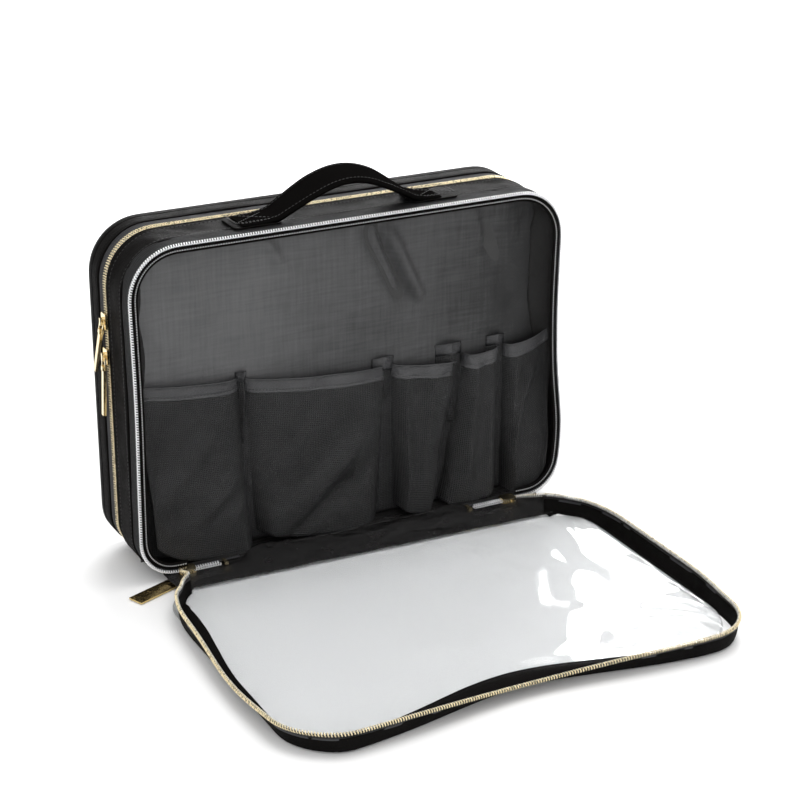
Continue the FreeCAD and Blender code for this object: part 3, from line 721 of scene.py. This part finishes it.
def pocket_surface(number, low, high, nx, nz, proud=0.0):
    """Points of a pocket's front between two heights below its top edge, in mm."""
    tl, tr, bl, br, zl, zm, zr, folds = POCKETS[number]
    u = np.linspace(0, 1, nx)[:, None]
    # closer stations near the ends, where the net turns back to the divider
    u = 0.5 - 0.5 * np.cos(pi * (0.5 * u + 0.5 * (0.5 - 0.5 * np.cos(pi * u))))
    top = zl * (1 - u) * (1 - 2 * u) + zm * 4 * u * (1 - u) + zr * u * (2 * u - 1)
    drop = np.linspace(high, low, nz)[None, :]
    floor_z = POCKET_FLOOR + 3.0 * (2 * u - 1) ** 4 + (8 * (u > 0.5) * (2 * u - 1) ** 3 if number == 4 else 0)
    floor_z = floor_z + (10 * np.clip(1 - 2 * u, 0, 1) ** 3 if number == 0 else 0)
    z = top - drop * (top - floor_z) / (top - POCKET_FLOOR)
    v = np.clip((z - floor_z) / (top - floor_z), 0, 1)
    left, right = bl + (tl - bl) * v ** 0.8, br + (tr - br) * v ** 0.8
    x = left + (right - left) * u
    t = 2 * u - 1
    ends = np.abs(t) ** 7
    if number in (0, 4):  # the outermost edges are sewn to the gusset, close to the zip
        ends = np.where((t > 0) == (number == 4), -0.5 * ends, ends)
    depth = 9.0 * (1 - ends) * (0.8 + (1.5 - 0.12 * number) * np.exp(-((v / 0.32) ** 2)))
    y = 3.4 + depth
    fold = 2.5 * sum(h * ridge(x, z, a, b, w) for a, b, w, h in folds)
    points = np.stack([x, 0 * x + 50 * number, z + 0 * x], -1)
    inside = 1 - np.abs(t) ** 6
    y = y + inside * (fold + 1.3 * rumple(points, 24, number) + 0.5 * rumple(points, 10, number))
    y = y + inside * 0.8 * np.sin(x / 3.3) * np.exp(-(z - floor_z) / 7.0)
    y = np.minimum(y, 21.0) + proud
    return np.stack([x, -y, z], -1)


def pocket(number):
    tag = f"pocket_{number + 1}"
    tl, tr, bl, br, _, middle, *_ = POCKETS[number]
    tall = middle - POCKET_FLOOR
    body = thickened(grid(f"{tag}_net", pocket_surface(number, 3.0, tall, 46, 56), NET), 0.45)
    placed(body, "case", "mesh", f"{tag}_mesh")
    points = pocket_surface(number, 0.0, HEM_TALL, 40, 14, 0.35)
    v = np.linspace(0, 1, 14)
    points[..., 1] -= (0.9 * bump(v, 0.99, 0.06) - 0.45 * bump(v, 0.2, 0.05))[None]
    points[..., 1] -= 0.8 * rumple(points * [1, 0, 0.3] + [0, number * 9, 0], 13, number)
    hem = thickened(grid(f"{tag}_band", points, HEM), 0.9)
    line = points[1:-1, 3] - [0, 0.55, 0]
    out, side = (np.tile(a, (len(line), 1)) for a in ([0.0, -1.0, 0.0], [0.0, 0.0, 1.0]))
    row = stitches(f"{tag}_hem_stitches", Track(line, out, side), 0.0, 0.0, DARK_THREAD, length=1.9,
                   pitch=2.8, radius=0.26)
    placed(hem, "case", "hem_band", f"{tag}_hem")
    placed(row, "case", "hem_band")


for number in range(5):
    pocket(number)


def backing():
    """The net's folds between the pockets, which close the gaps against the divider."""
    x = np.linspace(-182, 186, 150)[:, None]
    v = np.linspace(0, 1, 50)[None]
    top = np.interp(x, [-182, -94, -90, 38, 41, 103, 108, 141, 146, 186],
                    [150, 146, 144, 134, 133, 128, 131, 134, 134, 142])
    z = 9.5 + (top - 9.5) * v
    points = np.stack([x + 0 * z, 0 * z, z], -1)
    points[..., 1] = -(4.4 + 0.8 * rumple(points, 16, 12) + 0.5 * np.sin(x / 4.0))
    sheet = thickened(grid("pocket_gusset_net", points, NET), 0.4)
    placed(sheet, "case", "mesh")


backing()


def pleat(name, x, z, wide, tall, deep, seed, lean=0.0):
    """A folded top of net and hem that stands behind the edges of two pockets."""
    t = np.linspace(0, 1, 26)
    px = x + wide * (t - 0.5) + 0.12 * wide * np.sin(2 * pi * t)
    py = 3.2 + deep * np.sin(pi * t) ** 0.8
    v = np.linspace(0, 1, 22)
    grow = 1 - 0.55 * (1 - v) ** 2
    X = x + (px[:, None] - x) * grow[None] + lean * (v[None] - 0.5)
    Y = py[:, None] * (0.45 + 0.55 * grow[None])
    Z = z - tall + tall * v[None] + 2.2 * np.sin(pi * t)[:, None] * v[None]
    points = np.stack([X, -Y, Z], -1)
    points[..., 0] += 1.6 * rumple(points, 9, seed) * np.sin(pi * t)[:, None]
    points[..., 1] += 0.9 * rumple(points, 8, seed + 3)
    points[..., 1] = np.minimum(points[..., 1], -2.8)
    cut = 22 - max(int(22 * 13 / tall), 3)
    for part, rows, material, thick, slot in (
        ("net", slice(0, cut + 1), NET, 0.4, "mesh"), ("band", slice(cut, 22), HEM, 0.8, "hem_band"),
    ):
        piece = placed(thickened(grid(f"{name}_{part}", points[:, rows], material), thick), "case", slot)


pleat("pleat_1", -91.5, 156, 9, 60, 6, 1)
pleat("pleat_2", 33, 146, 20, 44, 5, 2, 2)
pleat("pleat_3", 96, 148, 25, 70, 7, 3, -4)
pleat("pleat_4", 138, 148, 17, 60, 5, 4, 2)

# ---- the front lid, open
rim = open_track()
RIM = rim.length
LID_COIL = dict(half=(1.4, 1.1), wire=0.5)


def rim_shape(s):
    """Flop angle, shift of the bottom edge and width of the binding at stations on the rim."""
    line = rim.at(s)[0]
    x, y = line[..., 0], line[..., 1]
    port = step_up(-x, 150, 186)
    left = port * bump(y, -225, 70)
    right = step_up(x, 150, 186) * bump(y, -185, 85)
    fore = step_up(-y, 285, 322) * bump(x, -5, 95)
    angle = np.radians(8 + 30 * left + 14 * right + 46 * fore)
    from_end = np.minimum(s, RIM - s)
    shift = 2.0 - 4.0 * port - 2.5 * right - 24 * fore - 11.5 * bump(from_end, 27, 30)
    shift = shift - 7.0 * step_up(x, 130, 180) * bump(y, -290, 40)
    wide = 13 - port * (6.5 - 12 * (1 - step_up(-y, 90, 210))) - 7 * step_up(x, 150, 186) + 30 * fore
    wide = wide * np.where(x < 0, 0.15 + 0.85 * step_up(from_end, 0, 38), 1.0)
    return angle, shift, wide


def rim_section(s, low, high, count, floor=False):
    """The wall's section between two fractions of its height, with the binding on the floor."""
    angle, shift, wide = (a[:, None] for a in rim_shape(s))
    t = np.linspace(low, high, count)[None]
    lean = angle * (0.5 + 0.5 * t)
    bow = 0.9 * np.sin(pi * t)
    up = t * WALL * np.cos(lean) - bow * np.sin(lean)
    out = shift + t * WALL * np.sin(lean) + bow * np.cos(lean)
    section = np.stack([up, out], -1)
    if floor:
        k = np.linspace(0, 1, 9)[None]
        across = -wide + (shift - 0.8 + wide) * k
        swell = 0.35 + 0 * wide + (0.08 * wide - 0.6).clip(0) * np.sin(pi * k) ** 2
        section = np.concatenate([np.stack([swell, across], -1), section], 1)
    return section


def rim_wrinkle(amount, scale, seed):
    def extra(points, s):
        keep = np.clip((points[..., 2:3] - 0.6) / 4.0, 0, 1)
        return amount * keep * (rumple(points, scale, seed)[..., None] * rim.at(s)[1][:, None])
    return extra


wall = loft("front_lid_wall", rim, lambda s: rim_section(s, 0.03, 0.8, 12, True), NYLON, 3, tube=False,
            extra=rim_wrinkle(0.8, 18, 1))
placed(thickened(wall, 0.9), "front_lid", "black_nylon", "front_lid_gusset", "window_binding")
lid_tape = loft("front_lid_tape_cloth", rim, lambda s: rim_section(s, 0.7, 1.0, 14), TAPE, 3, tube=False,
                extra=rim_wrinkle(0.5, 14, 2))
placed(thickened(lid_tape, 0.8), "front_lid", "zip_tape", "front_lid_tape")


def wall_top(s):
    """How far up and out the top of the wall is, where the lid's zip row is sewn."""
    angle, shift, _ = rim_shape(s)
    return WALL * np.cos(angle) + 0.3, shift + WALL * np.sin(angle)


placed(coil("front_lid_coil_row", rim, lambda s: wall_top(s)[0], lambda s: wall_top(s)[1], GOLD_COIL, 2,
            RIM - 2, **LID_COIL), "front_lid", "gold_coil", "front_lid_coil")


def window():
    x, z = soft_rect(-185, 181, 52, 312, 34, 40, 120, 90)
    z = z + (1.5 + 4 * x / 180) * (1 - step_up(z, 52, 90))
    fore = step_up(z, 250, 312) * bump(x, -5, 95)
    z = z - 26 * fore
    points = np.stack([x, z, 0 * x], -1)
    edge_gap = np.minimum(np.minimum(x + 185, 181 - x), np.minimum(z - 57, 312 - 26 * fore - z))
    loose = step_up(edge_gap, 0, 40)
    right = step_up(x, 20, 120)
    height = 0.9 + loose * (0.8 + 0.7 * rumple(points, 70, 2) + right * 0.9 * (1 + rumple(points, 34, 5)))
    # the right edge is sewn a little way up the leaning wall
    height = height + 5.0 * step_up(x, 130, 179) * step_up(z, 60, 110) * (1 - step_up(z, 262, 306))
    sheet = grid("window_vinyl", np.stack([x, -z, np.maximum(height, 0.6)], -1), vinyl())
    placed(thickened(sheet, 0.35), "front_lid", "clear_vinyl", "window")


window()


def flap():
    """The crinkled nylon strip that hinges the front lid to the core."""
    t = np.linspace(0, 1, 46)
    x = np.linspace(-1, 1, 150)[:, None]
    y = -16.0 - (39.2 + 4.5 * x) * t[None]
    x = x * (171 - 3 * t[None])
    out_rows = step_up(np.abs(x), 96, 106)
    level = np.interp(-y, [16, 24, 34, 44, 50, 56, 70], [8.6, 7.6, 6.6, 4.0, 3.0, 2.4, 2.2])
    dip = (np.minimum(level, 4.3) - level) * out_rows * step_up(-y, 20, 23)
    points = np.stack([x, y, level], -1)
    folds = 1.7 * rumple(points * [0.7, 1.2, 1], 14, 4) + 0.9 * rumple(points, 6, 8)
    z = level + dip + folds * (1 - 0.6 * out_rows) * np.clip((level - 1.2) / 2.5, 0.25, 1)
    points = np.stack([x, y, np.maximum(z, 1.0)], -1)
    sheet = thickened(grid("front_hinge_cloth", points, CRINKLED), 0.6)
    crossing(sheet, "front_lid", "black_nylon", (0, -0.040, 0.001), (0, -0.056, 0.001),
             "front_hinge_strip")


flap()


def lead(sign):
    """The lid's zip row and the nylon below it, from a slider up to the lid's rim."""
    up, out = (float(a[0]) for a in wall_top(np.array([1.0 if sign > 0 else RIM - 1.0])))
    end = np.array([164 * sign, -52 + out, 1 + up])
    start = np.array([(147 if sign > 0 else 157) * sign, -29.5, 8.0])
    a, b = start + np.array([6 * sign, -2, 0.5]), end - np.array([9 * sign, -4, 0.8])
    t = np.linspace(0, 1, 24)[:, None]
    line = (1 - t) ** 3 * start + 3 * t * (1 - t) ** 2 * a + 3 * t * t * (1 - t) * b + t ** 3 * end
    tangent = unit(np.gradient(line, axis=0))
    out = unit(np.cross(tangent, [0.0, 0.0, 1.0])) * -sign
    track = Track(line, out, np.tile([0.0, 0.0, 1.0], (24, 1)))
    side = "right" if sign > 0 else "left"
    row = coil(f"front_lid_lead_{side}", track, 0.0, 0.0, GOLD_COIL, **LID_COIL)
    base = line * [1, 0.35, 0] + np.array([-3.0 * sign, -30.0, 1.6])
    base[:, 1] = np.linspace(-44, -54, 24)
    v = np.linspace(0, 1, 12)[None, :, None]
    points = line[:, None] * (1 - v) + base[:, None] * v
    fade = np.sin(pi * v[..., 0])
    points[..., 1] += 3.0 * fade * np.linspace(0.2, 1, 24)[:, None]
    points[..., 2] = np.maximum(points[..., 2], 1.4)
    points[..., 1] += 1.2 * fade * rumple(points, 9, 6)
    points[..., 0] += 1.0 * fade * rumple(points, 8, 9)
    web = thickened(grid(f"front_lid_web_{side}", points, CRINKLED), 0.6)
    for piece, slot in ((row, "gold_coil"), (web, "black_nylon")):
        crossing(piece, "front_lid", slot, (0, -0.030, 0.001), (0, -0.050, 0.001))


lead(1)
lead(-1)

# closed stretches of the front zip at both ends
right_end, left_end = 134, (ROUND - 147, ROUND - 124)
closed_rows = [
    coil(f"row_{at_side}_{end:.0f}", front, at_side, -1.3, SILVER, start, end, phase, (1.45, 0.75))
    for at_side, start, end, phase in (
        (25.0, 108, right_end, 0.0), (28.9, 107, right_end, pi),
        (25.0, *left_end, 0.0), (28.9, *left_end, pi),
    )
]
placed(joined("front_zip_closed_rows", closed_rows), "case", "silver_coil", "front_zip_end_rows")

# ---- the rear lid, closed
LID_SPAN = HALF - RIM_BASE, rear.length - (HALF - RIM_BASE)
placed(coil("rear_lid_coil_row", rear, 28.95, -1.4, GOLD_COIL, *LID_SPAN, phase=pi, **REAR_COIL),
       "rear_lid", "gold_coil", "rear_lid_coil")
placed(loft("rear_lid_tape_cloth", rear, ribbon(ribbed(30.2, 41.6, -0.6), 0.8), TAPE, 5, *LID_SPAN,
            extra=tape_waves(rear, 0.3)), "rear_lid", "zip_tape", "rear_lid_tape")


def lid_swell(points, s):
    y = points[..., 1]
    belly = np.clip(1 - ((y - 46) / 10.5) ** 2, 0, 1)
    return along_out(rear, s, belly * (0.3 + 0.6 * rumple(points, 36, 9)))


gusset_line = [(40.0 + a, b) for a, b in turned_edge]
gusset_line += [(y, 0.0) for y in np.linspace(43.5, 51, 6)]
gusset_line += [(52.0, -0.05), (52.7, -0.5), (53.5, 0.1), (55.0, 0.15), (56.6, 0.1), (57.4, -0.4),
                (58.4, -0.2), (59.6, -0.6)]
placed(loft("rear_lid_gusset_cloth", rear, ribbon(gusset_line, 1.0), NYLON, 5, *LID_SPAN, extra=lid_swell),
       "rear_lid", "black_nylon", "rear_lid_gusset")
turn = np.linspace(0, 2 * pi, 12, endpoint=False)
welt = np.stack([59.7 + 1.25 * np.cos(turn), -1.0 + 1.2 * np.sin(turn)], -1)
placed(loft("rear_piping_cord", rear, welt, HEM, 4, *LID_SPAN), "rear_lid", "black_nylon", "rear_piping")


def panel():
    """The padded rear panel: swollen by a cloth simulation, held at its sewn edge."""
    x0, x1, z0, z1 = -187.4, 187.4, 7.6, 273.4
    x, z = soft_rect(x0, x1, z0, z1, 28, 40, 96, 70)
    pad = thickened(grid("rear_panel_pad", np.stack([x, 0 * x + 58.4, z], -1), NYLON), 2.4)
    remesh = pad.modifiers.new("voxels", "REMESH")
    remesh.mode, remesh.voxel_size, remesh.use_smooth_shade = "VOXEL", 0.0045, True
    for v in pad.data.vertices:  # thick enough for the voxels
        v.co.y = 0.0584 + (v.co.y - 0.0584) * 3.2
    applied(pad)
    start = np.array([v.co for v in pad.data.vertices])
    mm = start / MM
    to_edge = np.minimum(x1 - np.abs(mm[:, 0]), np.minimum(mm[:, 2] - z0, z1 - mm[:, 2]))
    hold = pad.vertex_groups.new(name="hold")
    for k, gap in enumerate(to_edge):
        hold.add([k], float(np.clip(1 - gap / 6, 0, 1)), "REPLACE")
    settings = pad.modifiers.new("cloth", "CLOTH").settings
    settings.quality, settings.mass = 5, 0.2
    settings.use_pressure, settings.uniform_pressure_force = True, 3.0
    settings.effector_weights.gravity = 0.0
    settings.vertex_group_mass = "hold"
    settings.tension_stiffness = settings.compression_stiffness = 18
    for k in range(1, 16):
        bpy.context.scene.frame_set(k)
    applied(pad)
    move = np.array([v.co for v in pad.data.vertices]) - start
    far = np.linalg.norm(move, axis=1, keepdims=True)
    end = start + move * np.minimum(1, 0.0035 / np.maximum(far, 1e-9))
    end[:, 1] = np.clip(end[:, 1], 0.0552, 0.0612)
    pad.data.vertices.foreach_set("co", end.ravel())
    bpy.context.scene.frame_set(1)
    pad.data.shade_smooth()
    placed(pad, "rear_lid", "black_nylon", "rear_panel", "rear_foam")


def lid_lining():
    x, z = soft_rect(*LINED, 80, 60)
    points = np.stack([x, 54.4 + 0 * x, z], -1)
    points[..., 1] -= 0.5 * rumple(points, 45, 3)
    inner = thickened(grid("rear_lid_lining_cloth", points, LINING), 0.4)
    placed(inner, "rear_lid", "lining", "rear_lid_lining")


panel()
lid_lining()


def rear_flap():
    """The nylon strip that hinges the rear lid to the core."""
    t = np.linspace(0, 1, 30)
    x = np.linspace(-1, 1, 120)[:, None] * (168 - 12 * t[None] ** 2)
    y = 16.0 + 43.5 * t[None] + 0 * x
    level = np.interp(y, [16, 24, 34, 47, 55, 60], [8.0, 6.8, 6.6, 4.0, 2.0, 1.5])
    points = np.stack([x, y, level], -1)
    z = level + 0.6 * rumple(points, 18, 11) * np.clip((level - 1.2) / 2.5, 0.2, 1)
    dip = (np.minimum(level, 4.3) - level) * step_up(np.abs(x), 104, 112) * step_up(y, 19, 22)
    points[..., 2] = np.maximum(z + dip, 1.0)
    sheet = thickened(grid("rear_hinge_cloth", points, CRINKLED), 0.6)
    crossing(sheet, "rear_lid", "black_nylon", (0, 0.051, 0.001), (0, 0.0605, 0.001),
             "rear_hinge_strip")


rear_flap()
rear_rows = [
    coil(f"row_{start:.0f}", rear, 28.95, -1.4, GOLD_COIL, start, start + 16, pi, (1.55, 0.8))
    for start in (115, ROUND - 131)
]
placed(joined("rear_zip_closed_rows", rear_rows), "case", "gold_coil", "rear_zip_end_rows")


def rear_lead(sign):
    """The fold of nylon and the zip row that join the rear lid's lower corner to the core."""
    side = "right" if sign > 0 else "left"
    near, far = (130, 161) if sign > 0 else (ROUND - 161, ROUND - 130)
    row = coil(f"rear_lid_lead_{side}", rear, 28.95, -1.4, GOLD_COIL, near, far, phase=pi, **REAR_COIL)
    x, y = np.meshgrid(sign * np.linspace(128, 162, 24), np.linspace(27.5, 58.5, 20), indexing="ij")
    points = np.stack([x, y, 5.6 + 0 * x], -1)
    points[..., 2] += 0.5 * rumple(points, 9, 14)
    web = thickened(grid(f"rear_lid_web_{side}", points, CRINKLED), 0.6)
    for piece, slot in ((row, "gold_coil"), (web, "black_nylon")):
        crossing(piece, "rear_lid", slot, (0.130 * sign, 0, 0), (0.159 * sign, 0, 0))


rear_lead(1)
rear_lead(-1)

# ---- handle
def handle():
    """The strap: an arch between two flat feet, leaning forward, with a rolled and stitched edge."""
    t = np.linspace(0, 1, 61)[1:-1]
    foot = 278.1
    x = np.concatenate([np.linspace(-90, -64, 9), 124 * t - 62, np.linspace(64, 82, 9)])
    flat_foot = np.full(9, foot)
    z = np.concatenate([flat_foot, 280.2 + 27 * np.sin(pi * t) ** 1.15, flat_foot])
    z = np.maximum(np.convolve(np.pad(z, 3, mode="edge"), np.ones(7) / 7, mode="valid"), foot)
    line = np.stack([x, -0.22 * (z - 279), z], -1)
    tangent = unit(np.gradient(line, axis=0))
    turn = np.radians(14) * np.clip((z - 279) / 20, 0, 1)
    side = np.stack([0 * x, np.cos(turn), np.sin(turn)], -1)
    side = unit(side - (side * tangent).sum(1)[:, None] * tangent)
    out = unit(np.cross(tangent, side))
    out *= np.sign(out[:, 2:3])
    track = Track(line, out, side)
    half = 13.6
    rolled = [(a - half, b) for a, b in (
        (0, -0.6), (0.1, 0.5), (0.8, 1.2), (1.9, 1.25), (2.5, 0.85), (3.2, 1.15))]
    flat = [(v, 1.2) for v in np.linspace(-9.5, 9.5, 15)]
    profile = ribbon(rolled + flat + [(-a, b) for a, b in rolled[::-1]], 2.4)

    def tapered(s):
        thin = 0.3 + 0.7 * step_up(np.minimum(s, track.length - s), 0, 9)
        return profile[None] * np.stack([np.ones_like(thin), thin], -1)[:, None]
    strap = loft("handle_strap_cloth", track, tapered, WEBBING, 2.0)
    rows = [stitches(f"edge_{sign}", track, sign * (half - 2.5), 1.15, DARK_THREAD, length=2.2, pitch=3.2,
                     radius=0.28) for sign in (-1, 1)]
    for piece, *nodes in ((strap, "handle_strap"), (joined("handle_edge_stitches", rows),)):
        crossing(piece, "handle", "strap_webbing", (0, 0, 0.2785), (0, 0, 0.289), *nodes)


def patches():
    """The handle's sewn end patches, each stitched round its edge and crosswise."""
    parts = []
    for sign in (-1, 1):
        x, y = soft_rect(57, 97, -14.5, 14.5, 3, 3, 30, 22)
        points = np.stack([x * sign, y, 276.5 + 0 * x], -1)
        points[..., 2] += 0.25 * rumple(points, 12, 2)
        if sign > 0:
            points = points[::-1]
        parts.append(thickened(grid(f"patch_{sign}", points, NYLON), 0.9))
        box = [(60, -12), (95, -12), (95, 12), (60, 12), (60, -12), (95, 12), (95, -12), (60, 12)]
        for k, ((xa, ya), (xb, yb)) in enumerate(zip(box, box[1:])):
            line = np.stack([sign * np.linspace(xa, xb, 8), np.linspace(ya, yb, 8), np.full(8, 280.0)], -1)
            out = np.tile([0.0, 0.0, 1.0], (8, 1))
            side = unit(np.cross(unit(np.gradient(line, axis=0)), out))
            parts.append(stitches(f"box_{k}_{sign}", Track(line, out, side), 0, 0.35, DARK_THREAD,
                                  length=2.2, pitch=3.2, radius=0.3))
    placed(joined("handle_patch_cloth", parts), "case", "strap_webbing", "handle_patches")


handle()
patches()

# ---- CAD nodes that show
BOARD = cloth("stiff_board", (0.02, 0.02, 0.02), 0.6, crinkle=(40, 0.4))
for name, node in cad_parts.items():
    finish = BRONZE if name == "front_pull_left" else GOLD
    if name.endswith("_board"):
        finish = BOARD
    elif not any(word in name for word in ("slider", "pull", "ring", "bar_", "stops")):
        continue
    node.data.materials.clear()
    node.data.materials.append(finish)
